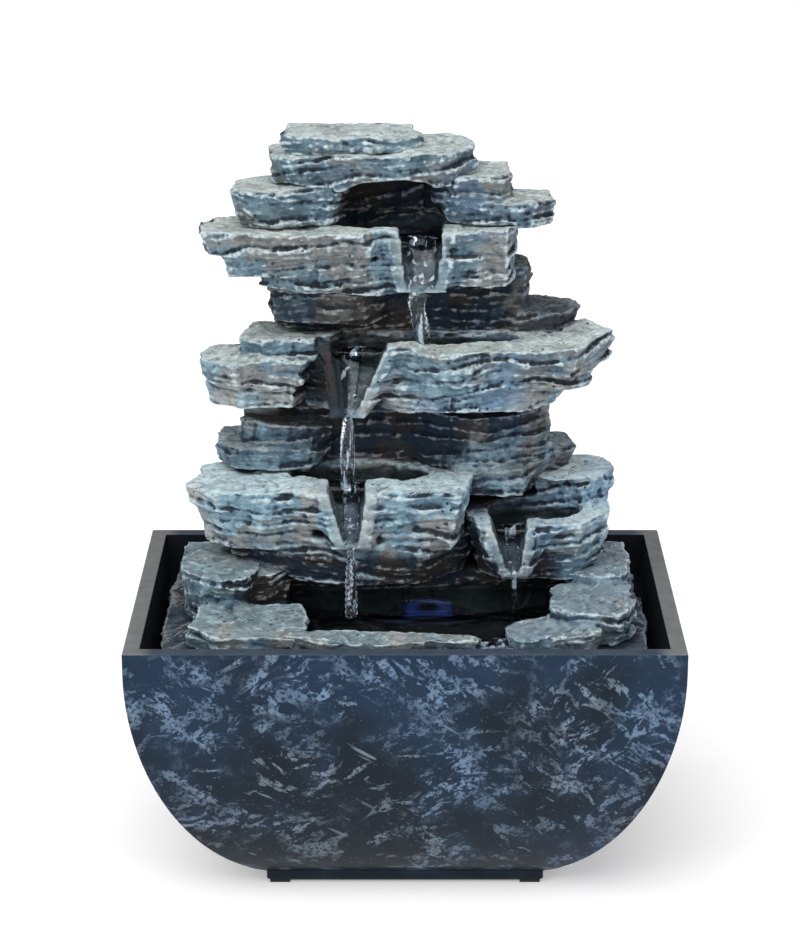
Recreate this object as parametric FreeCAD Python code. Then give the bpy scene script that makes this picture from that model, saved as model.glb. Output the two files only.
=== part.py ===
"""Tabletop fountain: a stacked-slate cascade on a deck, standing in a curved stone-look bowl.

The bowl is the water reservoir. A small submersible pump stands on its floor and lifts the water through a
hose to the spring mouth at the top. The water runs down over three tiers of basins and chutes to a pool.
The deck rests on lugs in the bowl's corners, so the whole cascade lifts off for filling and cleaning.

Units are millimetres. +X is to the right, +Y to the back, +Z up. The origin is on the table, under the
middle of the bowl.
"""

import FreeCAD
import Part

import math
import os
import random
from collections import namedtuple

from FreeCAD import Vector

# Bowl
bowl_width = 208.0
bowl_depth = 140.0
rim_height = 107.0
bowl_wall = 6.0
bowl_floor = 6.0
rim_band = 8.0
side_pull = 0.41
underside_pull = 0.60
underside_lift = 0.13
collar_draft = 3.0
inside_pull = 0.30
inside_underside_pull = 0.45
foot_width = 107.0
foot_depth = 80.0
foot_height = 4.5
foot_chamfer = 1.2
foot_recess = 2.5
foot_rim = 9.0
pad_thickness = 1.0
lug_leg = 29.0
lug_height = 12.0
lug_bite = 1.0
cord_notch_width = 9.0
cord_notch_depth = 5.0

# Rock deck, the plate that carries the cascade
deck_drop = 8.0
deck_thickness = 10.0
deck_gap = 4.5
deck_chip = 2.0
pool_recess = 3.0
stone_setback = 2.5

# Heights of the cascade's levels, from the deck upwards
strata_height = 14.0
lower_height = 39.0
middle_neck_height = 22.0
middle_height = 31.0
upper_neck_height = 18.0
upper_height = 26.0
mouth_height = 14.0
arch_height = 13.0
cap_height = 6.0

# Riser hose
hose_x = 0.0
hose_y = 32.0
hose_bore_radius = 4.3
hose_wall = 1.7
hose_clearance = 0.4
hose_fit = 0.05
hose_overlap = 12.0
hose_stand = 1.5

# Pool lamp
lamp_x = 9.0
lamp_y = -8.0
lamp_radius = 9.0
lamp_flange_radius = 11.5
lamp_flange = 2.4
lamp_depth = 8.0
lamp_wall = 1.5
lamp_clearance = 0.3
lamp_seal = 1.0
lens_radius = 9.8
lens_seat = 1.4
lens_rise = 0.8
board_thickness = 1.6
board_drop = 2.6
led_count = 6
led_size = 2.0
led_height = 0.9
lamp_gland_radius = 2.6
lamp_gland_length = 3.0

# Pump
pump_size = 28.0
pump_chamfer = 3.0
motor_length = 36.0
chamber_length = 14.0
chamber_radius = 11.0
chamber_wall = 2.0
rotor_radius = 7.6
rotor_length = 22.0
rotor_gap = 0.6
disc_thickness = 1.4
blade_count = 6
blade_radius = 9.4
blade_height = 5.6
blade_thickness = 1.4
hub_radius = 3.2
shaft_radius = 1.2
shaft_running_gap = 0.05
bush_radius = 3.0
bush_length = 3.0
boss_wall = 1.0
press_gap = 0.02
inlet_radius = 7.0
arm_width = 2.0
seal_inset = 0.8
seal_width = 1.6
seal_thickness = 1.2
outlet_offset = 8.0
outlet_bore_radius = 2.7
outlet_radius = 3.7
barb_radius = 4.0
barb_height = 16.0
barb_drop = 4.0
barb_ridge = 1.5
strainer_length = 9.0
strainer_wall = 2.0
slot_count = 4
slot_width = 2.4
window_size = 4.4
window_offset = 6.4
dial_radius = 10.0
dial_thickness = 2.0
dial_gap = 0.3
dial_stem_radius = 2.5
dial_running_gap = 0.05
dial_head_radius = 3.6
dial_head = 1.2
grip_width = 3.0
grip_height = 3.0
cup_radius = 6.0
cup_height = 7.0
cup_base = 2.0
cup_stem_radius = 2.0
cup_stem = 3.0
cup_inset = 8.0
gland_radius = 4.0
gland_length = 9.0
gland_spigot_radius = 2.8
gland_spigot = 4.0
cable_bore_radius = 2.0
cable_bore_depth = 7.0

# Levels and edges worked out from the sizes above
foot_top = pad_thickness + foot_height
floor_top = foot_top + bowl_floor
deck_top = rim_height - deck_drop
deck_bottom = deck_top - deck_thickness
pool_floor = deck_top - pool_recess
lower_base = deck_top + strata_height
lower_top = lower_base + lower_height
middle_base = lower_top + middle_neck_height
middle_top = middle_base + middle_height
upper_base = middle_top + upper_neck_height
upper_top = upper_base + upper_height
arch_base = upper_top + mouth_height
arch_top = arch_base + arch_height
cap_top = arch_top + cap_height

deck_right = bowl_width / 2 - bowl_wall - deck_gap
deck_left = -deck_right
deck_back = bowl_depth / 2 - bowl_wall - deck_gap
deck_front = -deck_back
shore_front = deck_front + stone_setback

hose_radius = hose_bore_radius + hose_wall

pump_y = hose_y - outlet_offset
pump_bottom = floor_top + cup_height
pump_z = pump_bottom + pump_size / 2
pump_top = pump_bottom + pump_size
outlet_top = pump_top + barb_height
chamber_x0 = hose_x - chamber_length / 2
chamber_x1 = hose_x + chamber_length / 2
motor_x1 = chamber_x0 - seal_thickness
motor_x0 = motor_x1 - motor_length
strainer_x1 = chamber_x1 + strainer_length
well_x0 = chamber_x0 - rotor_length - rotor_gap
rear_bush_x0 = well_x0 - bush_length

AXIS_X = Vector(1, 0, 0)
AXIS_Y = Vector(0, 1, 0)
AXIS_Z = Vector(0, 0, 1)


# Shapes used throughout

def box(x0, x1, y0, y1, z0, z1):
    return Part.makeBox(x1 - x0, y1 - y0, z1 - z0, Vector(x0, y0, z0))


def cylinder(radius, base, axis, length):
    return Part.makeCylinder(radius, length, base, axis)


def tube(outer, inner, base, axis, length):
    return cylinder(outer, base, axis, length).cut(cylinder(inner, base, axis, length))


def flat_face(points):
    return Part.Face(Part.makePolygon(points + points[:1]))


def prism(points, direction):
    return flat_face(points).extrude(direction)


def closed_solid(faces):
    solid = Part.Solid(Part.Shell(faces))
    if solid.Volume < 0:
        solid.reverse()
    return solid


def joined(shapes):
    """One shape from several that overlap, with flat faces that continue each other merged."""
    whole = shapes[0].fuse(shapes[1:]) if len(shapes) > 1 else shapes[0]
    return whole.removeSplitter()


def largest_solid(shape):
    return max(shape.Solids, key=lambda solid: solid.Volume)


# Bowl: four curved sides over a small foot, with lugs in the corners for the deck

Level = namedtuple("Level", "half_x half_y z")


def tub(rim, shoulder, base, pull, low_pull):
    """Closed tub: a flat collar from the rim to the shoulder, then curved sides down to the base.

    Below the shoulder the four corners follow one curve, and level lines between them make the sides.
    """
    turns = [(-1, -1), (1, -1), (1, 1), (-1, 1)]
    drop = shoulder.z - base.z
    low = Level(
        base.half_x + low_pull * (shoulder.half_x - base.half_x),
        base.half_y + low_pull * (shoulder.half_y - base.half_y),
        base.z + underside_lift * drop,
    )
    below_shoulder = Level(shoulder.half_x, shoulder.half_y, shoulder.z - pull * drop)

    def outline(level):
        return [Vector(sx * level.half_x, sy * level.half_y, level.z) for sx, sy in turns]

    curves = []
    for poles in zip(outline(shoulder), outline(below_shoulder), outline(low), outline(base)):
        curve = Part.BezierCurve()
        curve.setPoles(list(poles))
        curves.append(curve.toShape())
    upper = outline(rim)
    lower = outline(shoulder)
    faces = [flat_face(upper), flat_face(outline(base))]
    for k in range(4):
        n = (k + 1) % 4
        faces.append(flat_face([upper[k], upper[n], lower[n], lower[k]]))
        faces.append(Part.makeRuledSurface(curves[k], curves[n]))
    return closed_solid(faces)


def outer_tub():
    rim = Level(bowl_width / 2, bowl_depth / 2, rim_height)
    shoulder = Level(rim.half_x, rim.half_y, rim_height - rim_band)
    base = Level(foot_width / 2, foot_depth / 2, foot_top)
    return tub(rim, shoulder, base, side_pull, underside_pull)


def inner_tub():
    """The hollow of the bowl, with a drafted collar that reaches down past the lugs."""
    rim = Level(bowl_width / 2 - bowl_wall, bowl_depth / 2 - bowl_wall, rim_height)
    collar_bottom = deck_bottom - lug_height - bowl_wall
    shoulder = Level(rim.half_x - collar_draft, rim.half_y - collar_draft, collar_bottom)
    base = Level((foot_width - bowl_wall) / 2, (foot_depth - bowl_wall) / 2, floor_top)
    return tub(rim, shoulder, base, inside_pull, inside_underside_pull)


def make_bowl():
    foot = box(-foot_width / 2, foot_width / 2, -foot_depth / 2, foot_depth / 2, pad_thickness, foot_top)
    table_edges = [edge for edge in foot.Edges if edge.BoundBox.ZMax < foot_top - foot_height / 2]
    foot = foot.makeChamfer(foot_chamfer, table_edges)
    recess_x = foot_width / 2 - foot_rim
    recess_y = foot_depth / 2 - foot_rim
    recess = box(-recess_x, recess_x, -recess_y, recess_y, pad_thickness, pad_thickness + foot_recess)
    shell = outer_tub().cut(inner_tub())
    return joined([shell, foot.cut(recess)] + corner_lugs()).cut(cord_notch())


def corner_lugs():
    """Triangular lugs cast into the bowl's corners, flat on top, where the deck rests."""
    corner_x = bowl_width / 2 - bowl_wall - lug_bite
    corner_y = bowl_depth / 2 - bowl_wall - lug_bite
    lugs = []
    for sx in (-1, 1):
        for sy in (-1, 1):
            corner = Vector(sx * corner_x, sy * corner_y, deck_bottom - lug_height)
            along_x = corner - Vector(sx * lug_leg, 0, 0)
            along_y = corner - Vector(0, sy * lug_leg, 0)
            lugs.append(prism([corner, along_x, along_y], Vector(0, 0, lug_height)))
    return lugs


def cord_notch():
    """Round-bottomed notch in the back of the rim, where the pump's lead leaves the bowl."""
    radius = cord_notch_width / 2
    inside_y = bowl_depth / 2 - 2 * bowl_wall
    length = 3 * bowl_wall
    centre_z = rim_height - cord_notch_depth + radius
    round_end = cylinder(radius, Vector(0, inside_y, centre_z), AXIS_Y, length)
    mouth = box(-radius, radius, inside_y, inside_y + length, centre_z, rim_height + radius)
    return round_end.fuse(mouth)


def make_foot_pads():
    size = foot_rim - foot_chamfer
    x = foot_width / 2 - foot_chamfer - size
    y = foot_depth / 2 - foot_chamfer - size
    pads = []
    for x0 in (-x - size, x):
        for y0 in (-y - size, y):
            pads.append(box(x0, x0 + size, y0, y0 + size, 0, pad_thickness))
    return Part.makeCompound(pads)


# Rock: every stone is a stack of slate layers with one ragged outline, each layer chipped a little

Stone = namedtuple("Stone", "name left right front back bottom top tilt overhang")
Stone.__new__.__defaults__ = (0.0, 0.07)

stone_corners = 11
stone_squareness = 5.0
stone_raggedness = 0.16
layer_pitch = 8.0
layer_chip = 0.08
layer_undercut = 0.05


def unit_outline(rng):
    """Ragged outline that just fills the square from -1 to 1: a squared-off oval with chipped corners."""
    points = []
    for k in range(stone_corners):
        angle = math.tau * (k + 0.6 * rng.random()) / stone_corners
        c = math.cos(angle)
        s = math.sin(angle)
        reach = (abs(c) ** stone_squareness + abs(s) ** stone_squareness) ** (-1 / stone_squareness)
        reach *= 1 - stone_raggedness * rng.random()
        points.append((c * reach, s * reach))
    x0 = min(x for x, y in points)
    x1 = max(x for x, y in points)
    y0 = min(y for x, y in points)
    y1 = max(y for x, y in points)
    return [(2 * (x - x0) / (x1 - x0) - 1, 2 * (y - y0) / (y1 - y0) - 1) for x, y in points]


def layer_solid(points, centre, bottom, top, draw_in):
    """One layer: the outline at its top edge, drawn in a little towards its bottom edge."""

    def ring(scale, z):
        return [Vector(centre[0] + (x - centre[0]) * scale, centre[1] + (y - centre[1]) * scale, z)
                for x, y in points]

    low = ring(1 - draw_in, bottom)
    high = ring(1, top)
    count = len(points)
    faces = [flat_face(low), flat_face(high)]
    for k in range(count):
        n = (k + 1) % count
        faces.append(flat_face([low[k], low[n], high[n], high[k]]))
    return closed_solid(faces)


def stone_solid(stone):
    """A stone: layers one on the other, wider towards the top by its overhang, tilted as a whole."""
    rng = random.Random(stone.name)
    outline = unit_outline(rng)
    centre = ((stone.left + stone.right) / 2, (stone.front + stone.back) / 2)
    half_x = (stone.right - stone.left) / 2
    half_y = (stone.back - stone.front) / 2
    count = max(1, round((stone.top - stone.bottom) / layer_pitch))
    thickness = (stone.top - stone.bottom) / count
    layers = []
    for k in range(count):
        spread = 1 - stone.overhang * (count - 1 - k)
        points = []
        for x, y in outline:
            scale = spread * (1 - layer_chip * rng.random())
            points.append((centre[0] + half_x * x * scale, centre[1] + half_y * y * scale))
        low = stone.bottom + k * thickness
        layers.append(layer_solid(points, centre, low, low + thickness, layer_undercut))
    whole = joined(layers)
    return whole.rotate(Vector(centre[0], centre[1], stone.bottom), AXIS_Y, -stone.tilt)


# Basins: rounded hollows that hold the water of a tier

Basin = namedtuple("Basin", "left right front back floor top")

basin_corners = 14
basin_slope = 0.12


def basin_cut(basin):
    """The hollow of a basin: a rounded outline whose sides slope in towards its floor."""
    centre_x = (basin.left + basin.right) / 2
    centre_y = (basin.front + basin.back) / 2
    half_x = (basin.right - basin.left) / 2
    half_y = (basin.back - basin.front) / 2
    points = []
    for k in range(basin_corners):
        angle = math.tau * (k + 0.5) / basin_corners
        c = math.cos(angle)
        s = math.sin(angle)
        reach = (abs(c) ** 3 + abs(s) ** 3) ** (-1 / 3)
        points.append((centre_x + half_x * reach * c, centre_y + half_y * reach * s))
    return layer_solid(points, (centre_x, centre_y), basin.floor, basin.top, basin_slope)


# Chutes: V-shaped spouts, left and right cheek at the top and at the lip, falling from a basin to the lip

chute_fields = "top_left low_left low_right top_right top lip_y lip_z back_y back_z cheek_left cheek_right"
Chute = namedtuple("Chute", chute_fields)

chute_wall = 3.8
cheek_setback = 3.0
lip_thickness = 1.4


def chute_body(chute):
    """The wall of a chute: rims beside the channel, cheeks set back beside them, cut away underneath."""
    lowest = chute.lip_z - (chute.back_z - chute.lip_z)
    rim_left = chute.top_left - chute_wall
    rim_right = chute.top_right + chute_wall
    far_left = rim_left - chute.cheek_left
    far_right = rim_right + chute.cheek_right

    def wedge(left, right, front):
        foot = chute.lip_z - lip_thickness
        corners = [
            Vector(left, front, chute.top),
            Vector(chute.low_left - chute_wall, front, foot),
            Vector(chute.low_right + chute_wall, front, foot),
            Vector(right, front, chute.top),
        ]
        return prism(corners, Vector(0, chute.back_y - front, 0))

    under = [
        Vector(far_left, chute.lip_y, chute.lip_z - lip_thickness),
        Vector(far_left, chute.lip_y, lowest - lip_thickness),
        Vector(far_left, chute.back_y, lowest - lip_thickness),
    ]
    rims = wedge(rim_left, rim_right, chute.lip_y)
    cheeks = wedge(far_left, far_right, chute.lip_y + cheek_setback)
    return joined([rims, cheeks]).cut(prism(under, Vector(far_right - far_left, 0, 0)))


def chute_cut(chute):
    """The channel of a chute: two sloping cheeks, and a floor that falls from the basin to the lip."""
    front = chute.lip_y - 2 * chute_wall
    back = chute.back_y + chute_wall
    above = chute.top + chute_wall
    slope_left = (chute.low_left - chute.top_left) / (chute.top - chute.lip_z)
    slope_right = (chute.top_right - chute.low_right) / (chute.top - chute.lip_z)
    far_left = chute.top_left - slope_left * chute_wall
    far_right = chute.top_right + slope_right * chute_wall
    cheeks = [
        Vector(far_left, front, above),
        Vector(chute.low_left, front, chute.lip_z),
        Vector(chute.low_right, front, chute.lip_z),
        Vector(far_right, front, above),
    ]
    floor = [
        Vector(far_left, front, chute.lip_z),
        Vector(far_left, chute.lip_y, chute.lip_z),
        Vector(far_left, chute.back_y, chute.back_z),
        Vector(far_left, back, chute.back_z),
        Vector(far_left, back, above),
        Vector(far_left, front, above),
    ]
    channel = prism(cheeks, Vector(0, back - front, 0))
    return channel.common(prism(floor, Vector(far_right - far_left, 0, 0)))


# The cascade's basins, chutes and stones, from the deck upwards

pool_basin = Basin(-50, 64, -50, 12, pool_floor, deck_top + 1)
lower_left_basin = Basin(-46, 10, 0, 23, lower_base + 28, lower_top + 1)
lower_right_basin = Basin(30, 70, -3, 22, lower_base + 13, lower_base + 34)
middle_basin = Basin(-31, 46, 6, 23, middle_base + 20, middle_top + 3)
upper_basin = Basin(-33, 16, 12, 40, upper_base + 14, upper_top + 1)

lower_chute = Chute(-29.5, -23.5, -18, -15, lower_top, -18, lower_base + 17.5, 4, lower_base + 31, 9, 9)
right_chute = Chute(33, 40, 43.8, 46.5, lower_base + 24, -15, lower_base + 5, 2, lower_base + 16, 3, 9)
middle_chute = Chute(-28, -24.8, -18.5, -7, middle_top, -3, middle_base + 4.5, 10, middle_base + 24, 1, 9)
upper_chute = Chute(-2, 0.8, 12.6, 14, upper_top - 1, 5, upper_base + 2.5, 17, upper_base + 17, 9, 5)

base_strata = [
    Stone("base strata low", -76, 74, 6, 54, deck_top, deck_top + strata_height / 2),
    Stone("base strata high", -72, 70, 1, 52, deck_top + strata_height / 2, lower_base),
]
pool_left = [
    Stone("pool left block", deck_left + 6, -56, -27, 22, deck_top, deck_top + 21, -2),
    Stone("pool left ledge", -72, -43, -16, 16, deck_top, deck_top + 18, 2),
    Stone("pool left shelf", deck_left + 10, -37, shore_front, -16, deck_top, deck_top + 9, -2),
]
pool_front = [
    Stone("pool front rim", -48, 28, shore_front, -45, deck_top, deck_top + 8, -1.5),
    Stone("pool overflow lip", 20, 46, shore_front, -47, deck_top, deck_top + 3.5),
]
pool_right = [
    Stone("pool right front", 36, 76, shore_front, -33, deck_top, deck_top + 9, 4),
    Stone("pool right shelf", 55, deck_right - 5, -46, -4, deck_top, deck_top + 14, 2),
    Stone("pool right back", 61, deck_right - 6, -12, 32, deck_top, deck_top + 17, -3),
]
lower_left = [
    Stone("lower left sill", -75, 31, -16, 48, lower_base, lower_base + 17, -1, 0.03),
    Stone("lower left block", -85, -22, -18, 34, lower_base + 14, lower_top - 1, 1, 0.10),
    Stone("lower middle block", -22, 27, -17, 22, lower_base + 14, lower_top - 1),
    Stone("lower left bed", -54, 16, -8, 50, lower_base + 3, lower_base + 31),
    Stone("lower back", -64, 60, 22, 53, lower_base, lower_top),
]
lower_right = [
    Stone("lower right block", 23, 81, -12, 42, lower_base, lower_base + 24, 2),
    Stone("lower right back", 50, 84, 14, 44, lower_base + 20, lower_top - 4, 4),
]
middle_neck = [
    Stone("middle neck core", -54, 57, 23, 52, lower_top, middle_base, 0, 0.02),
    Stone("middle neck front", 4, 58, 9, 48, lower_top - 5, middle_base, 2, -0.01),
    Stone("middle neck left", -75, -30, 8, 42, lower_top, lower_top + 9, -3),
    Stone("middle neck ridge", -66, -28, 10, 44, lower_top + 7, lower_top + 18, -6),
    Stone("middle neck right", 40, 67, 24, 46, lower_top - 6, lower_top + 5),
    Stone("middle neck ledge", 14, 57, 5, 46, lower_top - 9, lower_top + 1, 3),
]
middle_tier = [
    Stone("middle bed", -52, 52, 10, 51, middle_base, middle_top - 6),
    Stone("middle right low", -15, 64, -5, 46, middle_base + 5, middle_base + 15, 1),
    Stone("middle right mid", -14, 77, -9, 44, middle_base + 13, middle_base + 23, 2),
    Stone("middle right top", -16, 82, -11, 42, middle_base + 20, middle_top, 2),
    Stone("middle back", -52, 60, 23, 51, middle_base, middle_top),
]
middle_left = [
    Stone("middle left stone", -81, -34, 3, 34, middle_base + 4, middle_top - 8, 1, 0.18),
    Stone("middle left slab", -64, -24, 7, 38, middle_top - 9, middle_top, 2),
]
upper_neck = [
    Stone("upper neck core", -56, 52, 20, 51, middle_top, upper_base, 0, 0.02),
    Stone("upper neck front", -54, -4, 9, 44, middle_top + 5, upper_base, -2),
    Stone("upper neck right", 34, 67, 18, 46, middle_top, middle_top + 8, 1),
    Stone("upper neck knob", 28, 49, 20, 44, middle_top + 7, upper_base + 8),
]
upper_tier = [
    Stone("upper left foot", -60, 5, 5, 46, upper_base, upper_base + 13, -2),
    Stone("upper left slab", -80, 3, -1, 40, upper_base + 7, upper_top - 1, 0.5, 0.22),
    Stone("upper right slab", 9, 45, 3, 44, upper_base + 3, upper_top - 1, 1, 0.05),
    Stone("upper bed", -42, 34, 10, 51, upper_base, upper_base + 17),
    Stone("upper back", -52, 42, 34, 52, upper_base, upper_top),
]
arch_left = [
    Stone("arch left stone", -67, -20, 7, 42, upper_top - 1, arch_base, 3),
]
arch_right = [
    Stone("arch right arm", 14, 58, 12, 42, upper_top - 2, upper_top + 8, 1),
    Stone("arch right stone", 10, 42, 14, 44, upper_top + 7, arch_base + 4, 3),
]
arch_slab = [
    Stone("arch back wall", -46, 36, 36, 51, upper_top, arch_base + 1),
    Stone("arch slab", -55, 31, 9, 50, arch_base - 1, arch_top, 2.5, 0.04),
]
cavern_depth = 36.0
cap_slab = [
    Stone("cap slab", -49, 9, 13, 46, arch_top - 4, cap_top),
]


def cavern_hollow():
    """The roof of the cavern over the spring: a low arch cut into the underside of the arch slab."""
    foot = arch_base - 2
    arch = [(-24, foot), (-14, foot + 4.5), (0, foot + 5.5), (9, foot + 4), (14, foot)]
    return prism([Vector(x, 0, z) for x, z in arch], Vector(0, cavern_depth, 0))


def hose_channel(gap):
    return cylinder(hose_radius + gap, Vector(hose_x, hose_y, 0), AXIS_Z, upper_basin.floor + 1)


def rock(stones, chutes=(), basins=(), below=(), hose_gap=hose_clearance):
    """A rock casting: stones joined, basins and channels cut out, its underside shaped to what is below."""
    whole = joined([stone_solid(stone) for stone in stones] + [chute_body(chute) for chute in chutes])
    cuts = [basin_cut(basin) for basin in basins] + [chute_cut(chute) for chute in chutes]
    return largest_solid(whole.cut(cuts + list(below) + [hose_channel(hose_gap)]).removeSplitter())


def ragged_plate(half_x, half_y, chip, step, bottom, top):
    """Straight-sided plate whose edges are chipped inwards at every step along them."""
    rng = random.Random("deck")
    count_x = round(2 * half_x / step)
    count_y = round(2 * half_y / step)
    edge = [(2 * k / count_x - 1, -1) for k in range(count_x)]
    edge += [(1, 2 * k / count_y - 1) for k in range(count_y)]
    edge += [(1 - 2 * k / count_x, 1) for k in range(count_x)]
    edge += [(-1, 1 - 2 * k / count_y) for k in range(count_y)]
    points = []
    for x, y in edge:
        inset = chip * rng.random()
        corner = chip if abs(x) == abs(y) else 0
        points.append((x * (half_x - inset - corner), y * (half_y - inset - corner)))
    return layer_solid(points, (0, 0), bottom, top, 0)


def make_deck():
    """The plate under the cascade, with the pool's floor, the lamp's hole and the hose's hole."""
    plate = ragged_plate(deck_right, deck_back, deck_chip, 2.5 * deck_thickness, deck_bottom, deck_top)
    lamp_hole = cylinder(lamp_radius + lamp_clearance, Vector(lamp_x, lamp_y, 0), AXIS_Z, deck_top)
    return plate.cut([basin_cut(pool_basin), lamp_hole, hose_channel(hose_clearance)])


def make_rocks():
    """The rock castings from the deck up, each seated on those below it."""
    rocks = {"rock_deck": make_deck()}

    def add(name, stones, seats, chutes=(), basins=(), hose_gap=hose_clearance):
        below = [rocks[seat] for seat in seats]
        rocks[name] = rock(stones, chutes, basins, below, hose_gap)

    add("base_strata", base_strata, ["rock_deck"])
    add("pool_stone_left", pool_left, ["rock_deck", "base_strata"])
    add("pool_rim_front", pool_front, ["rock_deck", "pool_stone_left"])
    add("pool_stone_right", pool_right, ["rock_deck", "base_strata", "pool_rim_front"])
    shore = ["base_strata", "pool_stone_left", "pool_stone_right"]
    add("lower_tier_left", lower_left, shore, [lower_chute], [lower_left_basin])
    add("lower_tier_right", lower_right, shore + ["lower_tier_left"], [right_chute], [lower_right_basin])
    add("middle_neck", middle_neck, ["lower_tier_left", "lower_tier_right"])
    add("middle_tier", middle_tier, ["middle_neck"], [middle_chute], [middle_basin])
    add("middle_stone_left", middle_left, ["middle_neck", "middle_tier"])
    add("upper_neck", upper_neck, ["middle_tier", "middle_stone_left"])
    add("upper_tier", upper_tier, ["upper_neck"], [upper_chute], [upper_basin], hose_fit)
    add("arch_stone_left", arch_left, ["upper_tier"])
    add("arch_stone_right", arch_right, ["upper_tier"])
    add("arch_slab", arch_slab, ["upper_tier", "arch_stone_left", "arch_stone_right"])
    rocks["arch_slab"] = rocks["arch_slab"].cut(cavern_hollow())
    add("cap_slab", cap_slab, ["arch_slab"])
    return rocks


def make_hose():
    bottom = outlet_top - hose_overlap
    top = upper_basin.floor + hose_stand
    return tube(hose_radius, hose_bore_radius, Vector(hose_x, hose_y, bottom), AXIS_Z, top - bottom)


# Pool lamp: a sealed puck let into the pool's floor

lamp_seat = pool_floor + lamp_seal
lamp_top = lamp_seat + lamp_flange
lamp_bottom = lamp_seat - lamp_depth
board_top = lamp_top - lens_seat - board_drop
board_bottom = board_top - board_thickness
lamp_cavity_radius = lamp_radius - lamp_wall


def lamp_point(z):
    return Vector(lamp_x, lamp_y, z)


def make_lamp_seal():
    return tube(lamp_flange_radius, lamp_radius + lamp_clearance, lamp_point(pool_floor), AXIS_Z, lamp_seal)


def make_lamp_housing():
    flange = cylinder(lamp_flange_radius, lamp_point(lamp_seat), AXIS_Z, lamp_flange)
    body = cylinder(lamp_radius, lamp_point(lamp_bottom), AXIS_Z, lamp_depth)
    gland_end = lamp_point(lamp_bottom - lamp_gland_length)
    gland = cylinder(lamp_gland_radius, gland_end, AXIS_Z, lamp_gland_length)
    cavity = cylinder(lamp_cavity_radius, lamp_point(board_bottom), AXIS_Z, lamp_top - board_bottom)
    seat = cylinder(lens_radius + press_gap, lamp_point(lamp_top - lens_seat), AXIS_Z, lens_seat)
    return joined([flange, body, gland]).cut([cavity, seat])


def make_lamp_lens():
    return cylinder(lens_radius, lamp_point(lamp_top - lens_seat), AXIS_Z, lens_seat + lens_rise)


def make_lamp_board():
    return cylinder(lamp_cavity_radius - press_gap, lamp_point(board_bottom), AXIS_Z, board_thickness)


def make_lamp_leds():
    """Square chip LEDs in a ring on the board, each turned to face outwards."""
    ring_radius = lamp_cavity_radius - led_size
    half = led_size / 2
    chip_x = lamp_x + ring_radius
    led_top = board_top + led_height
    chip = box(chip_x - half, chip_x + half, lamp_y - half, lamp_y + half, board_top, led_top)
    step = 360 / led_count
    leds = [chip.copy().rotate(lamp_point(board_top), AXIS_Z, step * k) for k in range(led_count)]
    return Part.makeCompound(leds)


# Pump: motor housing, impeller chamber and inlet strainer in a row along X

def pump_point(x, y=0.0, z=0.0):
    return Vector(x, pump_y + y, pump_z + z)


def pump_block(x0, x1, size):
    half = size / 2
    block = box(x0, x1, pump_y - half, pump_y + half, pump_z - half, pump_z + half)
    long_edges = [edge for edge in block.Edges if edge.BoundBox.XLength > (x1 - x0) / 2]
    return block.makeChamfer(pump_chamfer, long_edges)


def pump_rod(radius, x0, x1):
    return cylinder(radius, pump_point(x0), AXIS_X, x1 - x0)


def cup_spots():
    return [Vector(x, pump_y, floor_top) for x in (motor_x0 + cup_inset, motor_x1 - cup_inset)]


def make_pump_housing():
    pockets = [
        pump_rod(rotor_radius + rotor_gap, well_x0, motor_x1),
        pump_rod(bush_radius + press_gap, rear_bush_x0, well_x0),
        pump_rod(gland_spigot_radius + press_gap, motor_x0, motor_x0 + gland_spigot),
    ]
    for spot in cup_spots():
        pockets.append(cylinder(cup_stem_radius + press_gap, spot, AXIS_Z, cup_height + cup_stem))
    return pump_block(motor_x0, motor_x1, pump_size).cut(pockets)


def make_pump_seal():
    outside = pump_size - 2 * seal_inset
    ring = pump_block(motor_x1, chamber_x0, outside)
    return ring.cut(pump_block(motor_x1, chamber_x0, outside - 2 * seal_width))


def make_pump_cover():
    """The impeller chamber with its outlet barb, and the front bush held in a spider in the inlet."""
    outlet = Vector(hose_x, hose_y, pump_z)
    barb = [
        cylinder(outlet_radius, outlet, AXIS_Z, outlet_top - pump_z),
        cylinder(barb_radius, Vector(hose_x, hose_y, outlet_top - barb_drop), AXIS_Z, barb_ridge),
    ]
    front_wall = chamber_x1 - chamber_wall
    hollow = [
        pump_rod(chamber_radius, chamber_x0, front_wall),
        pump_rod(inlet_radius, front_wall, chamber_x1),
        cylinder(outlet_bore_radius, outlet, AXIS_Z, outlet_top - pump_z),
    ]
    shell = joined([pump_block(chamber_x0, chamber_x1, pump_size)] + barb).cut(hollow)
    boss_x0 = chamber_x1 - bush_length - boss_wall
    reach = inlet_radius + chamber_wall / 2
    half_arm = arm_width / 2
    spider = [
        pump_rod(bush_radius + boss_wall, boss_x0, chamber_x1),
        box(front_wall, chamber_x1, pump_y - reach, pump_y + reach, pump_z - half_arm, pump_z + half_arm),
        box(front_wall, chamber_x1, pump_y - half_arm, pump_y + half_arm, pump_z - reach, pump_z + reach),
    ]
    bores = [
        pump_rod(bush_radius + press_gap, chamber_x1 - bush_length, chamber_x1),
        pump_rod(shaft_radius + dial_gap, boss_x0, chamber_x1),
    ]
    return joined([shell] + spider).cut(bores)


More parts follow.
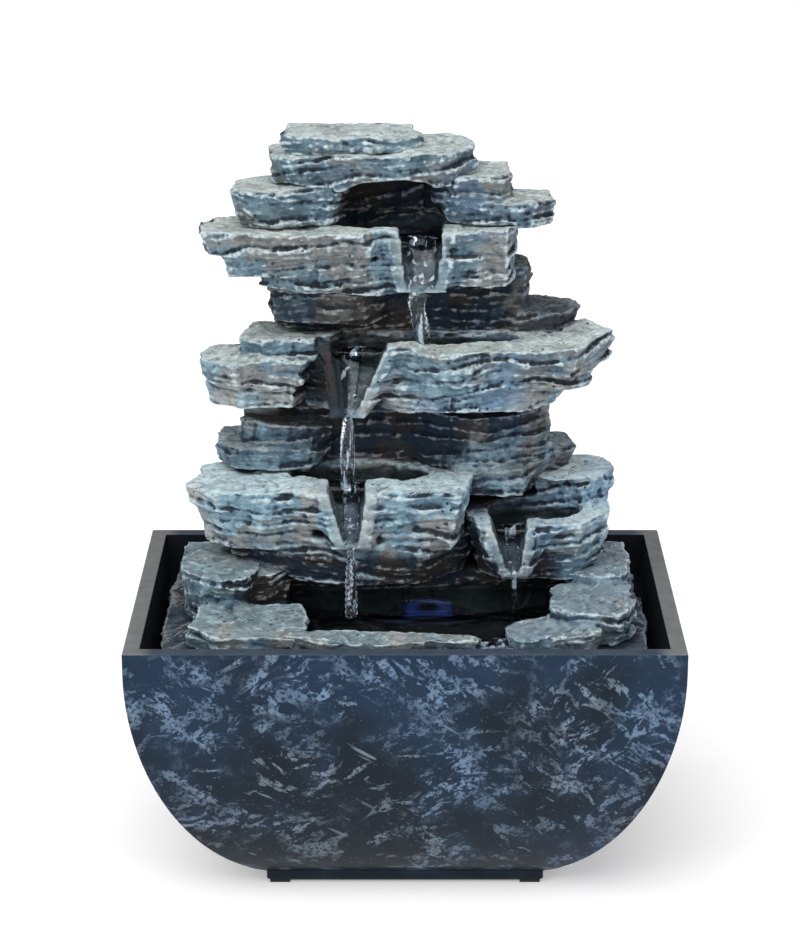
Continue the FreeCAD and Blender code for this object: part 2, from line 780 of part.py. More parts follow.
def make_impeller():
    """Magnet rotor and open blade wheel moulded in one, running on the fixed shaft."""
    disc_x0 = chamber_x0 + rotor_gap
    blade_x0 = disc_x0 + disc_thickness
    blade_x1 = blade_x0 + blade_height
    wheel = [
        pump_rod(rotor_radius, well_x0 + rotor_gap, disc_x0),
        pump_rod(blade_radius, disc_x0, blade_x0),
        pump_rod(hub_radius, blade_x0, blade_x1),
    ]
    half = blade_thickness / 2
    inner = hub_radius / 2
    blade = box(blade_x0, blade_x1, pump_y - half, pump_y + half, pump_z + inner, pump_z + blade_radius)
    for k in range(blade_count):
        wheel.append(blade.copy().rotate(pump_point(0), AXIS_X, 360 * k / blade_count))
    bore = pump_rod(shaft_radius + shaft_running_gap, well_x0, blade_x1)
    return joined(wheel).cut(bore)


def make_shaft():
    return pump_rod(shaft_radius, rear_bush_x0, chamber_x1)


def make_bushes():
    bushes = []
    for x0 in (rear_bush_x0, chamber_x1 - bush_length):
        bushes.append(tube(bush_radius, shaft_radius + press_gap, pump_point(x0), AXIS_X, bush_length))
    return Part.makeCompound(bushes)


def flow_windows(x0, x1):
    """The two openings that the dial uncovers, one above and one below the pump's axis."""
    half = window_size / 2
    centres = (pump_z - window_offset, pump_z + window_offset)
    return [box(x0, x1, pump_y - half, pump_y + half, z - half, z + half) for z in centres]


def make_strainer():
    inside = pump_size - 2 * strainer_wall
    hollow = pump_block(chamber_x1, strainer_x1 - strainer_wall, inside)
    cuts = [hollow, pump_rod(dial_stem_radius + dial_running_gap, chamber_x1, strainer_x1)]
    cuts += flow_windows(chamber_x1, strainer_x1)
    pitch = inside / (slot_count + 1)
    for k in range(slot_count):
        z = pump_z - inside / 2 + (k + 1) * pitch - slot_width / 2
        x0 = chamber_x1 + strainer_wall
        x1 = strainer_x1 - strainer_wall
        cuts.append(box(x0, x1, pump_y - pump_size, pump_y + pump_size, z, z + slot_width))
    return pump_block(chamber_x1, strainer_x1, pump_size).cut(cuts)


def make_flow_dial():
    """Dial on the strainer's front: its two windows stand over the strainer's, or a quarter turn away."""
    disc_x0 = strainer_x1 + dial_gap
    disc_x1 = disc_x0 + dial_thickness
    head_x1 = strainer_x1 - strainer_wall - dial_gap
    half = grip_width / 2
    reach = dial_radius - grip_width
    dial = [
        pump_rod(dial_radius, disc_x0, disc_x1),
        pump_rod(dial_stem_radius, head_x1 - dial_head, disc_x0),
        pump_rod(dial_head_radius, head_x1 - dial_head, head_x1),
        box(disc_x1, disc_x1 + grip_height, pump_y - reach, pump_y + reach, pump_z - half, pump_z + half),
    ]
    return joined(dial).cut(flow_windows(disc_x0, disc_x1))


def make_cups():
    cups = []
    for spot in cup_spots():
        base = cylinder(cup_radius, spot, AXIS_Z, cup_base)
        cups.append(joined([base, cylinder(cup_stem_radius, spot, AXIS_Z, cup_height + cup_stem)]))
    return Part.makeCompound(cups)


def make_gland():
    rear = motor_x0 - gland_length
    body = joined([
        pump_rod(gland_radius, rear, motor_x0),
        pump_rod(gland_spigot_radius, motor_x0, motor_x0 + gland_spigot),
    ])
    return body.cut(pump_rod(cable_bore_radius, rear, rear + cable_bore_depth))


nodes = {
    "bowl": make_bowl(),
    "foot_pads": make_foot_pads(),
    "pump_housing": make_pump_housing(),
    "pump_seal": make_pump_seal(),
    "pump_cover": make_pump_cover(),
    "pump_impeller": make_impeller(),
    "pump_shaft": make_shaft(),
    "shaft_bushes": make_bushes(),
    "inlet_strainer": make_strainer(),
    "flow_dial": make_flow_dial(),
    "suction_cups": make_cups(),
    "cable_gland": make_gland(),
    "riser_hose": make_hose(),
    "lamp_seal": make_lamp_seal(),
    "lamp_housing": make_lamp_housing(),
    "lamp_lens": make_lamp_lens(),
    "lamp_board": make_lamp_board(),
    "lamp_leds": make_lamp_leds(),
}
nodes.update(make_rocks())

os.makedirs("parts", exist_ok=True)
for name, shape in nodes.items():
    shape.exportStep("parts/" + name + ".step")
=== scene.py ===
# Tabletop fountain: a painted slate cascade with running water, standing in a sponged stone-look bowl.
# Metres, in the same frame as the solids: +X right, +Y back, +Z up, origin on the table.
import math

import bpy
import numpy as np
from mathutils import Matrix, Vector
from mathutils.bvhtree import BVHTree


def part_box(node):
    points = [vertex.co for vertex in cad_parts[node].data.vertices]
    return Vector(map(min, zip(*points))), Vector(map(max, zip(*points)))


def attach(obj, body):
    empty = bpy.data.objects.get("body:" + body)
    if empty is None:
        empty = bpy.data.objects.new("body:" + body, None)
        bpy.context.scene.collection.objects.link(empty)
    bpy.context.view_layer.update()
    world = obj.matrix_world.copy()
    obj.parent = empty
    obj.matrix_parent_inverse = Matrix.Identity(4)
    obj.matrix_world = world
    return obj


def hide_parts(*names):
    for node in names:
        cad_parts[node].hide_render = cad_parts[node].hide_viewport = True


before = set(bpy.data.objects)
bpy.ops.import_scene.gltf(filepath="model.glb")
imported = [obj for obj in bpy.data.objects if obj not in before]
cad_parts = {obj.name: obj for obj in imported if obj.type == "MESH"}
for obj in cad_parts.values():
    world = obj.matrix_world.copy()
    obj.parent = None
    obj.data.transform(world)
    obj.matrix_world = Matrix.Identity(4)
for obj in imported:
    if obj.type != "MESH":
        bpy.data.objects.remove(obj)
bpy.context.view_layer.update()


# Bowl: cast resin tub with four bowed sides on a small foot, 6 mm thick, one casting with the deck's lugs.
# It is painted charcoal and sponged with blue-grey, bluer and lighter towards the rim as painted light from
# above, and left nearly black inside, darker still with painted shade.
# Its rim is dark blue in front and grey along the two ends.
mm = 1000  # millimetres in a metre


def take_up(piece):
    """Links a new object and leaves it active and selected alone."""
    bpy.ops.object.select_all(action="DESELECT")
    bpy.context.scene.collection.objects.link(piece)
    piece.select_set(True)
    bpy.context.view_layer.objects.active = piece


def edit_all(operator, **settings):
    """Runs one edit-mode operator on the whole mesh of the active object."""
    bpy.ops.object.mode_set(mode="EDIT")
    bpy.ops.mesh.select_all(action="SELECT")
    operator(**settings)
    bpy.ops.object.mode_set(mode="OBJECT")


def cad_copy(node, name):
    """A merged copy of a CAD node's mesh as a new object, active and selected alone."""
    piece = bpy.data.objects.new(name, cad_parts[node].data.copy())
    take_up(piece)
    edit_all(bpy.ops.mesh.remove_doubles, threshold=1e-6)
    piece.data.materials.clear()
    return piece


def apply_modifier(piece, kind, **settings):
    """Adds one modifier with its settings and applies it."""
    modifier = piece.modifiers.new(kind.lower(), kind)
    for key, value in settings.items():
        setattr(modifier, key, value)
    bpy.ops.object.modifier_apply(modifier=modifier.name)


def store(mesh, name, channels, domain="POINT"):
    """Keeps up to four values per point, or per face corner, as one named attribute."""
    values = np.zeros((len(channels[0]), 4), dtype=np.float32)
    for k, channel in enumerate(channels):
        values[:, k] = channel
    mesh.attributes.new(name, "FLOAT_COLOR", domain).data.foreach_set("color", values.ravel())


class Shader:
    """A material under construction: nodes are added by name and linked by the sockets given."""

    def __init__(self, name):
        self.material = bpy.data.materials.new(name)
        self.material.use_nodes = True
        self.tree = self.material.node_tree
        self.surface = self.tree.nodes["Principled BSDF"]
        self.place = self.tree.nodes.new("ShaderNodeTexCoord").outputs["Object"]

    def feed(self, socket, value):
        """Links an output to a socket, or sets the socket to a constant."""
        if isinstance(value, bpy.types.NodeSocket):
            self.tree.links.new(value, socket)
        elif socket.type == "RGBA":
            socket.default_value = (*value, 1.0)
        else:
            socket.default_value = value

    def set(self, **inputs):
        """Feeds the surface's own sockets, with _ for a space in their names."""
        for key, value in inputs.items():
            self.feed(self.surface.inputs[key.replace("_", " ")], value)

    def add(self, kind, settings=None, **inputs):
        """A new node with its settings and inputs."""
        node = self.tree.nodes.new(kind)
        for key, value in (settings or {}).items():
            setattr(node, key, value)
        for key, value in inputs.items():
            self.feed(node.inputs[key.replace("_", " ")], value)
        return node

    def axis(self, name):
        """One of the object coordinates."""
        return self.add("ShaderNodeSeparateXYZ", Vector=self.place).outputs[name]

    def scaled(self, x, y, z, turn=(0, 0, 0)):
        """Object coordinates scaled, and turned by angles in radians."""
        node = self.add("ShaderNodeMapping", Vector=self.place, Scale=(x, y, z), Rotation=turn)
        return node.outputs["Vector"]

    def strokes(self, turn, along):
        """Object coordinates turned in the front plane and drawn out along that direction."""
        node = self.add("ShaderNodeMapping", {"vector_type": "TEXTURE"}, Vector=self.place)
        node.inputs["Rotation"].default_value = (0, math.radians(turn), 0)
        node.inputs["Scale"].default_value = (along, 1, 1)
        return node.outputs["Vector"]

    def noise(self, scale, detail=3.0, rough=0.55, vector=None, distortion=0.0):
        """Cloudy noise between 0 and 1, with scale in cells per metre."""
        node = self.add("ShaderNodeTexNoise", Scale=scale, Detail=detail, Roughness=rough)
        self.feed(node.inputs["Distortion"], distortion)
        self.feed(node.inputs["Vector"], vector or self.place)
        return node.outputs["Fac"]

    def ramp(self, value, low, high, to_low=0.0, to_high=1.0):
        """Goes smoothly from to_low, where the value is low, to to_high, where it is high."""
        node = self.add("ShaderNodeMapRange", {"interpolation_type": "SMOOTHSTEP"})
        for socket, item in zip(node.inputs[:5], (value, low, high, to_low, to_high)):
            self.feed(socket, item)
        return node.outputs["Result"]

    def math(self, kind, a, b=0.0):
        node = self.add("ShaderNodeMath", {"operation": kind})
        self.feed(node.inputs[0], a)
        self.feed(node.inputs[1], b)
        return node.outputs["Value"]

    def mix(self, share, a, b, blend="MIX"):
        """Colour a with a share of colour b over it."""
        node = self.add("ShaderNodeMix", {"data_type": "RGBA", "blend_type": blend})
        self.feed(node.inputs[0], share)
        self.feed(node.inputs[6], a)
        self.feed(node.inputs[7], b)
        return node.outputs[2]

    def dim(self, colour, value):
        """A colour multiplied by a value."""
        parts = self.add("ShaderNodeCombineColor", Red=value, Green=value, Blue=value)
        return self.mix(1.0, colour, parts.outputs["Color"], "MULTIPLY")

    def masks(self, name):
        """The four channels of a stored attribute."""
        node = self.add("ShaderNodeAttribute", {"attribute_name": name})
        parts = self.add("ShaderNodeSeparateColor", Color=node.outputs["Color"]).outputs
        return parts["Red"], parts["Green"], parts["Blue"], node.outputs["Alpha"]

    def bump(self, height, strength, distance):
        node = self.add("ShaderNodeBump", Strength=strength, Distance=distance, Height=height)
        self.set(Normal=node.outputs["Normal"])


bowl_edge_radius = 0.0007
bowl_sharp_edge = math.radians(50)
bowl_smooth_edge = math.radians(35)
rim_level = 106.2
inner_floor_level = 95
bowl = cad_copy("bowl", "sponged_bowl")
apply_modifier(
    bowl, "BEVEL", width=bowl_edge_radius, segments=3, limit_method="ANGLE", angle_limit=bowl_sharp_edge
)
bpy.ops.object.shade_smooth_by_angle(angle=bowl_smooth_edge)
faces = bowl.data.polygons
centres = np.array([face.center[:] for face in faces]) * mm
facing = np.array([face.normal[:] for face in faces])
corners = [face.loop_total for face in faces]
looks_inwards = (centres[:, :2] * facing[:, :2]).sum(1) < -1
looks_up = (facing[:, 2] > 0.5) & (centres[:, 2] < inner_floor_level)
on_rim = (centres[:, 2] > rim_level) & (facing[:, 2] > 0.3)
inside = (looks_inwards | looks_up) & ~on_rim
store(bowl.data, "zones", (np.repeat(inside, corners), np.repeat(on_rim, corners)), "CORNER")

charcoal, charcoal_blue = (0.0052, 0.0112, 0.0192), (0.0100, 0.0250, 0.0510)
flake_grey, flake_blue = (0.155, 0.200, 0.240), (0.138, 0.212, 0.318)
haze_blue = (0.032, 0.055, 0.092)
rim_dark, rim_light = (0.022, 0.032, 0.052), (0.070, 0.092, 0.125)
end_grey_light, end_grey_dark = (0.214, 0.222, 0.212), (0.106, 0.121, 0.138)
shaded_inside_dark, shaded_inside_light = (0.0015, 0.002, 0.003), (0.005, 0.007, 0.012)
rim_end_start, rim_end = 0.092, 0.099
foot_line, marks_line = 0.005, 0.008
# Smears of the sponge: turn in degrees, length over width, scale and threshold
smears = (
    (38, 2.6, 150, 0.57), (-42, 2.8, 120, 0.575), (-8, 4.5, 210, 0.60), (20, 2.0, 70, 0.605),
)

paint = Shader("sponged charcoal paint")
inner, rim, _, _ = paint.masks("zones")
lift = paint.axis("Z")
ragged = paint.ramp(paint.noise(620, 4, 0.7), 0.40, 0.54)
# Flecks lie in clusters, closer towards the rim, and run down to the right or up to the right
dense = paint.ramp(lift, 0.01, 0.10, -0.035, 0.045)
clusters = paint.ramp(paint.math("ADD", paint.noise(38, 3, 0.6), dense), 0.45, 0.62)
falling = paint.ramp(paint.noise(250, 4, 0.62, paint.strokes(44, 2.0), 0.4), 0.520, 0.560)
rising = paint.ramp(paint.noise(250, 4, 0.62, paint.strokes(-40, 2.0), 0.4), 0.520, 0.560)
flecks = paint.mix(paint.ramp(paint.noise(24, 2), 0.46, 0.54), falling, rising)
marks = paint.math("MULTIPLY", clusters, flecks)
for turn, along, scale, edge in smears:
    smear = paint.noise(scale, 4, 0.6, paint.strokes(turn, along), 0.5)
    # The same number turns each kind's patches another way, so that they don't coincide
    patch = paint.ramp(paint.noise(21, 2, 0.5, paint.scaled(1, 1, 1, (turn, 0, 0))), 0.44, 0.56)
    smear = paint.math("MULTIPLY", paint.ramp(smear, edge, edge + 0.035), patch)
    marks = paint.math("MAXIMUM", marks, smear)
marks = paint.math("MULTIPLY", marks, ragged)
dust = paint.ramp(paint.noise(900, 2, 0.6), 0.67, 0.71, 0.0, 0.6)
scratch = paint.ramp(paint.noise(230, 2, 0.5, paint.strokes(32, 14)), 0.70, 0.73, 0.0, 0.9)
marks = paint.math("MAXIMUM", marks, paint.math("MAXIMUM", dust, scratch))
marks = paint.math("MULTIPLY", marks, paint.ramp(lift, foot_line, marks_line))
# The charcoal turns blue and lighter towards the rim, a painted light from above, under a thin haze
haze = paint.ramp(paint.noise(75, 5, 0.7), 0.48, 0.72, 0.0, 0.25)
lit_bluer_above = paint.ramp(lift, 0.03, 0.105, -0.10, 0.12)
blue = paint.ramp(paint.math("ADD", paint.noise(19, 3), lit_bluer_above), 0.42, 0.66)
coat = paint.mix(haze, paint.mix(blue, charcoal, charcoal_blue), haze_blue)
pressed = paint.math("MULTIPLY", marks, paint.ramp(paint.noise(55, 2), 0.3, 0.65, 0.45, 1.0))
coat = paint.mix(pressed, coat, paint.mix(blue, flake_grey, flake_blue))
# Inside: near-black paint, made darker still as painted shade in the bowl's hollow
coat = paint.mix(inner, coat, paint.mix(paint.noise(90), shaded_inside_dark, shaded_inside_light))
ends = paint.ramp(paint.math("ABSOLUTE", paint.axis("X")), rim_end_start, rim_end)
end_grey = paint.mix(paint.noise(160, 4), end_grey_light, end_grey_dark)
rim_front = paint.mix(paint.noise(210, 4), rim_dark, rim_light)
coat = paint.mix(rim, coat, paint.mix(ends, rim_front, end_grey))
dull_marks = paint.ramp(marks, 0, 1, 0.42, 0.60)
dull_inside = paint.ramp(inner, 0, 1, 0.0, 0.9)
dullness = paint.math("MAXIMUM", dull_marks, dull_inside)
paint.set(Base_Color=coat, Roughness=dullness, Specular_IOR_Level=0.14)
paint.bump(paint.math("ADD", marks, paint.noise(700, 3)), 0.10, 0.0004)
bowl.data.materials.append(paint.material)
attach(bowl, "bowl")
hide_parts("bowl")


# Slate stones: resin castings of stacked slate, bonded one on the other and to the deck plate.
# They are painted grey-green with brown and blue tints, washed dark in the cracks, and dry-brushed pale
# along the edges.
# Their tops are painted pale as lit from above, painted shade darkens the cracks and recesses,
# and the water darkens what it runs over.

# Each stone's node, with the dip of its layers to the right and how much painted shade is added to it
stone_nodes = {
    "rock_deck": (0.00, 0.78), "base_strata": (0.05, 0.60), "pool_stone_left": (-0.06, 0.10),
    "pool_rim_front": (0.02, 0.05), "pool_stone_right": (0.10, 0.12),
    "lower_tier_left": (-0.05, 0.0), "lower_tier_right": (0.12, 0.0), "middle_neck": (0.06, 0.60),
    "middle_tier": (0.11, 0.0), "middle_stone_left": (-0.06, 0.0), "upper_neck": (0.08, 0.72),
    "upper_tier": (0.07, 0.0), "arch_stone_left": (-0.10, 0.0), "arch_stone_right": (0.09, 0.0),
    "arch_slab": (0.15, 0.0), "cap_slab": (-0.03, 0.0),
}
rough_voxel = 0.0010
stone_voxel = 0.0006
large_stone_voxels = {"rock_deck": 0.0011, "lower_tier_left": 0.00066}
rng = np.random.RandomState(7)
lattice = np.tile(rng.permutation(256), 3)
slopes = rng.normal(size=(256, 3))
slopes /= np.linalg.norm(slopes, axis=1)[:, None]


def smooth_between(value, low, high):
    """Rises smoothly from 0 at low to 1 at high."""
    share = np.clip((value - low) / (high - low), 0, 1)
    return share * share * (3 - 2 * share)


def read_mesh(mesh):
    """Points in millimetres and their normals, one row each."""
    count = len(mesh.vertices)
    points = np.empty(count * 3)
    normals = np.empty(count * 3)
    mesh.vertices.foreach_get("co", points)
    mesh.vertex_normals.foreach_get("vector", normals)
    return points.reshape(-1, 3) * mm, normals.reshape(-1, 3)


def move_points(piece, points):
    """Puts a piece's points at these places, given in millimetres."""
    piece.data.vertices.foreach_set("co", (points / mm).ravel())
    piece.data.update()


def smooth_faces(mesh):
    mesh.polygons.foreach_set("use_smooth", np.ones(len(mesh.polygons), dtype=bool))


def swell(points):
    """Smooth gradient noise, about -1 to 1, at each row of points."""
    cell = np.floor(points).astype(int)
    part = points - cell
    ease = part ** 3 * (part * (part * 6 - 15) + 10)
    total = np.zeros(len(points))
    for dx in (0, 1):
        for dy in (0, 1):
            column = lattice[lattice[(cell[:, 0] + dx) & 255] + ((cell[:, 1] + dy) & 255)]
            across = (ease[:, 0] if dx else 1 - ease[:, 0]) * (ease[:, 1] if dy else 1 - ease[:, 1])
            for dz in (0, 1):
                slope = slopes[lattice[column + ((cell[:, 2] + dz) & 255)]]
                weight = across * (ease[:, 2] if dz else 1 - ease[:, 2])
                total += weight * (slope * (part - (dx, dy, dz))).sum(1)
    return 1.6 * total


# Spouts in millimetres: inner edges at the top and at the lip, left to right, heights of both,
# front and back, and the left rim's tone, 1 pale or 0 in shade
spouts = [
    (-29.5, -23.5, -18.0, -15.0, 152.0, 130.5, -18.0, 4.0, 1.0),
    (33.0, 40.0, 43.8, 46.5, 137.0, 118.0, -15.0, 2.0, 1.0),
    (-28.0, -24.8, -18.5, -7.0, 205.0, 178.5, -3.0, 10.0, 0.0),
    (-2.0, 0.8, 12.6, 14.0, 248.0, 225.5, 5.0, 17.0, 1.0),
]
# Basins in millimetres: left, right, front, back and the water's level
basins = [
    (-50, 64, -50, 12, 103.4),
    (-46, 10, 0, 23, 147.6),
    (30, 70, -3, 22, 131.6),
    (-31, 46, 6, 23, 200.4),
    (-33, 16, 12, 40, 242.4),
]
basin_depth = 14


def spout_masks(points):
    """How near each point is to a spout's rims and to its wet channel, and which rims are in shade."""
    rims = np.zeros(len(points))
    channel = np.zeros(len(points))
    dim = np.zeros(len(points))
    x, y, z = points.T
    for top_left, low_left, low_right, top_right, top, lip, front, back, tone in spouts:
        share = np.clip((z - lip) / (top - lip), -0.3, 1.2)
        left = low_left + (top_left - low_left) * share
        right = low_right + (top_right - low_right) * share
        off_x = np.maximum(np.maximum(left - x, x - right), 0)
        off_y = np.maximum(np.maximum(front - y, y - back), 0)
        off_z = np.maximum(np.maximum(lip - 4 - z, z - top), 0)
        gap = np.sqrt(np.maximum(off_x - 1.5, 0) ** 2 + off_y ** 2 + off_z ** 2)
        rims = np.maximum(rims, 1 - smooth_between(gap, 0.3, 2.8))
        beside = np.sqrt(np.maximum(off_x - 5, 0) ** 2 + off_y ** 2 + off_z ** 2)
        dark = (1 - smooth_between(beside, 0.5, 3.0)) * (1 - tone)
        dim = np.maximum(dim, dark * (x < (low_left + low_right) / 2))
        within = (off_x < 1.0) & (y > front + 0.9) & (y < back + 6)
        channel = np.maximum(channel, within & (z > lip - 2) & (z < top - 0.5))
    return rims, channel, dim


def basin_mask(points):
    """Which points lie in a basin, up to a little above its water."""
    wet = np.zeros(len(points))
    for left, right, front, back, level in basins:
        across = np.abs((points[:, 0] - (left + right) / 2) / ((right - left) / 2)) ** 3
        along = np.abs((points[:, 1] - (front + back) / 2) / ((back - front) / 2)) ** 3
        within = 1 - smooth_between(across + along, 1.0, 1.6)
        below = 1 - smooth_between(points[:, 2], level + 0.5, level + 3)
        above = smooth_between(points[:, 2], level - basin_depth, level - basin_depth + 2)
        wet = np.maximum(wet, within * below * above)
    return wet


# How open each place in and round the rock is to the light, from rays through a grid of the solids
cell_size = 1.5
low_corner = np.array([-105.0, -70.0, 84.0])
grid_shape = (140, 94, 134)
upwards = Vector((0, 0, 1))
under_the_deck = 0.08
past_the_hit = Vector((0, 0, 1e-5))
most_crossings = 40
solid = np.zeros(grid_shape, dtype=bool)
for node in stone_nodes:
    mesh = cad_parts[node].data
    tree = BVHTree.FromPolygons(
        [v.co[:] for v in mesh.vertices], [p.vertices[:] for p in mesh.polygons]
    )
    reach = (np.array(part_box(node)) * mm - low_corner) / cell_size
    first = np.maximum(np.floor(reach[0]).astype(int), 0)
    last = np.minimum(np.ceil(reach[1]).astype(int) + 1, grid_shape)
    for i in range(first[0], last[0]):
        for j in range(first[1], last[1]):
            column = low_corner[:2] + (np.array((i, j)) + 0.5) * cell_size
            heights = []
            hit = tree.ray_cast(Vector((column[0] / mm, column[1] / mm, under_the_deck)), upwards)[0]
            while hit is not None and len(heights) < most_crossings:
                heights.append(int(round((hit.z * mm - low_corner[2]) / cell_size)))
                hit = tree.ray_cast(hit + past_the_hit, upwards)[0]
            for floor, top in zip(heights[0::2], heights[1::2]):
                solid[i, j, max(floor, 0):top] = True
ray_length = 28
ray_rings = ((0.12, 8), (0.55, 7), (1.05, 5))  # angle above level in radians, and rays all round
ray_count = sum(count for _, count in ray_rings)
padded = np.pad(solid, ray_length)
openness = np.zeros(grid_shape)
for rise, count in ray_rings:
    for k in range(count):
        turn = math.tau * (k + 0.5) / count
        level_x, level_y = math.cos(turn), math.sin(turn)
        ray = np.array([math.cos(rise) * level_x, math.cos(rise) * level_y, math.sin(rise)])
        blocked = np.zeros(grid_shape, dtype=bool)
        for reach in range(2, ray_length, 2):
            a, b, c = np.round(ray * reach).astype(int) + ray_length
            blocked |= padded[a:a + grid_shape[0], b:b + grid_shape[1], c:c + grid_shape[2]]
        openness += ~blocked / ray_count
air = (~solid).astype(float)
openness *= air
for axis in (0, 1, 2) * 4:
    for layer in (openness, air):
        layer += np.roll(layer, 1, axis) + np.roll(layer, -1, axis)
openness /= np.maximum(air, 1.0)


def light_at(points):
    """Openness to the light, blended between the grid's cells."""
    place = np.clip((points - low_corner) / cell_size - 0.5, 0, np.array(grid_shape) - 1.01)
    cell = place.astype(int)
    part = place - cell
    total = np.zeros(len(points))
    for corner in range(8):
        step = np.array([corner & 1, corner >> 1 & 1, corner >> 2])
        share = np.where(step, part, 1 - part).prod(1)
        i, j, k = (cell + step).T
        total += share * openness[i, j, k]
    return total


def shards(bed, rank, size):
    """Broken pieces along each layer: one random value for each piece."""
    place = np.stack([bed[:, 0] / size + 11.3 * rank, bed[:, 1] / size + 5.9 * rank], axis=1)
    cell = np.floor(place).astype(int)
    nearest = np.full(len(place), 9.0)
    value = np.zeros(len(place))
    for dx in (-1, 0, 1):
        for dy in (-1, 0, 1):
            key = lattice[lattice[(cell[:, 0] + dx) & 255] + ((cell[:, 1] + dy) & 255)]
            gap = ((place - cell - (dx + 0.5, dy + 0.5) - 0.45 * slopes[key, :2]) ** 2).sum(1)
            value = np.where(gap < nearest, slopes[key, 2], value)
            nearest = np.minimum(gap, nearest)
    return value


layer_raggedness = ((17, 0.95), (6, 0.42), (2.6, 0.22))  # length and height of its waves
crack_width = 0.45


def strata(bed, level, thickness, size, groove, lean):
    """Relief of stacked layers: each has a ragged outline and leans out at its top, with cracks between."""
    rank = np.floor(level / thickness)
    within = level / thickness - rank
    offset = np.zeros(len(bed))
    for length, height in layer_raggedness:
        along = bed[:, 0] / length + 7.31 * rank
        across = bed[:, 1] / length + 3.77 * rank
        offset += height * swell(np.stack([along, across, 5.13 * rank], axis=1))
    edge = np.minimum(within, 1 - within) * thickness
    depth = groove * np.clip(0.45 + 1.4 * swell(bed / 11), 0, 1.2)
    relief = offset + 0.55 * shards(bed, rank, size) + lean * (within - 0.45)
    return relief - depth * np.exp(-(edge / crack_width) ** 2)


def neighbours(mesh):
    """A function that averages values, one per point, over each point's neighbours."""
    edges = np.empty(len(mesh.edges) * 2, dtype=np.int64)
    mesh.edges.foreach_get("vertices", edges)
    one, two = edges.reshape(-1, 2).T
    total = len(mesh.vertices)
    count = np.bincount(one, minlength=total) + np.bincount(two, minlength=total)
    count = np.maximum(count, 1)

    def around(values):
        return (np.bincount(one, values[two], total) + np.bincount(two, values[one], total)) / count

    return around


def evened(points, around):
    """Each point at the middle of its neighbours."""
    return np.stack([around(points[:, k]) for k in range(3)], axis=1)


def remesh(piece, voxel):
    """Remeshes a piece evenly and gives its new neighbours."""
    piece.data.remesh_voxel_size = voxel
    bpy.ops.object.voxel_remesh()
    return neighbours(piece.data)


def fill_grooves(piece, around, rounds):
    """Fills the narrow steps between a stone's layers, but not the spouts' channels and the basins."""
    for _ in range(rounds):
        points, normals = read_mesh(piece.data)
        share = 1 - np.maximum(spout_masks(points)[1], basin_mask(points))
        for _ in range(8):
            rise = ((evened(points, around) - points) * normals).sum(1)
            points += normals * (np.maximum(rise, 0) * share)[:, None]
        move_points(piece, points)


def carve_slate(node, name, voxel, seed, dip, extra_shade):
    """Turns a CAD stone into weathered slate: filled, softened, layered, chipped and given paint masks."""
    piece = cad_copy(node, name)
    fill_grooves(piece, remesh(piece, rough_voxel), 3)
    around = remesh(piece, voxel)
    apply_modifier(piece, "SMOOTH", factor=0.5, iterations=4)
    points, normals = read_mesh(piece.data)
    # Spouts stay calm: they are rounded first, and get less of the relief
    rims, channel, _ = spout_masks(points)
    soft = np.maximum(rims, channel)
    for _ in range(8):
        points += 0.5 * soft[:, None] * (evened(points, around) - points)
    calm = 1 - 0.7 * soft
    own_place = seed * np.array([17.3, 5.1, 0])
    bed = points + own_place
    warp = np.stack([swell(bed / 19 + k * 9.7) for k in range(3)], axis=1) * (1.5, 1.5, 0.9)
    warp += np.stack([swell(bed / 7 + k * 5.3) for k in range(3)], axis=1) * (0.7, 0.7, 0.35)
    # Layers follow a level that dips, rolls and bunches, thick ones first and thin ones within them
    level = bed[:, 2] - dip * points[:, 0] + 3.6 * swell(bed / (36, 36, 16)) + 1.2 * swell(bed / 11)
    bunching = np.stack([level / 7, np.full(len(level), seed * 3.3), np.zeros(len(level))], axis=1)
    level = level + 1.5 * swell(bunching)
    side = smooth_between(np.linalg.norm(normals[:, :2], axis=1), 0.35, 0.8) * calm
    thick = np.clip(0.75 + 0.9 * swell(bed / (21, 21, 9) + 3.1), 0.2, 1.3)
    thin = np.clip(0.55 + 1.2 * swell(bed / (15, 15, 7) + 8.3), 0.0, 1.2)
    relief = 1.15 * thick * strata(bed, level, 5.6, 15, 0.8, 1.4)
    relief += 0.75 * thin * strata(bed + 40, level, 2.2, 7, 0.8, 1.0)
    points += warp * calm[:, None] + normals * (1, 1, 0.25) * (relief * side)[:, None]
    move_points(piece, points)
    # A second remesh evens the stretched faces, and crumbs and flakes come last
    around = remesh(piece, voxel)
    points, normals = read_mesh(piece.data)
    for share in (0.5, 0.3):
        points += share * (evened(points, around) - points)
    rims, channel, _ = spout_masks(points)
    calm = 1 - 0.7 * np.maximum(rims, channel)
    bed = points + own_place
    flakes = swell(bed / (13, 13, 40)) + 0.5 * swell(bed / (5, 5, 40))
    flakes = 0.55 * smooth_between(flakes, -0.02, 0.08)
    crumbs = 0.28 * swell(bed / (4.6, 4.6, 2.6)) + 0.20 * swell(bed / (2.4, 2.4, 1.5))
    points += normals * (crumbs * calm)[:, None]
    points[:, 2] -= flakes * calm * smooth_between(normals[:, 2], 0.6, 0.95)
    points[:, 2] = np.maximum(points[:, 2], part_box(node)[0][2] * mm)
    move_points(piece, points)
    smooth_faces(piece.data)
    paint_masks(piece.data, around, extra_shade)
    return piece


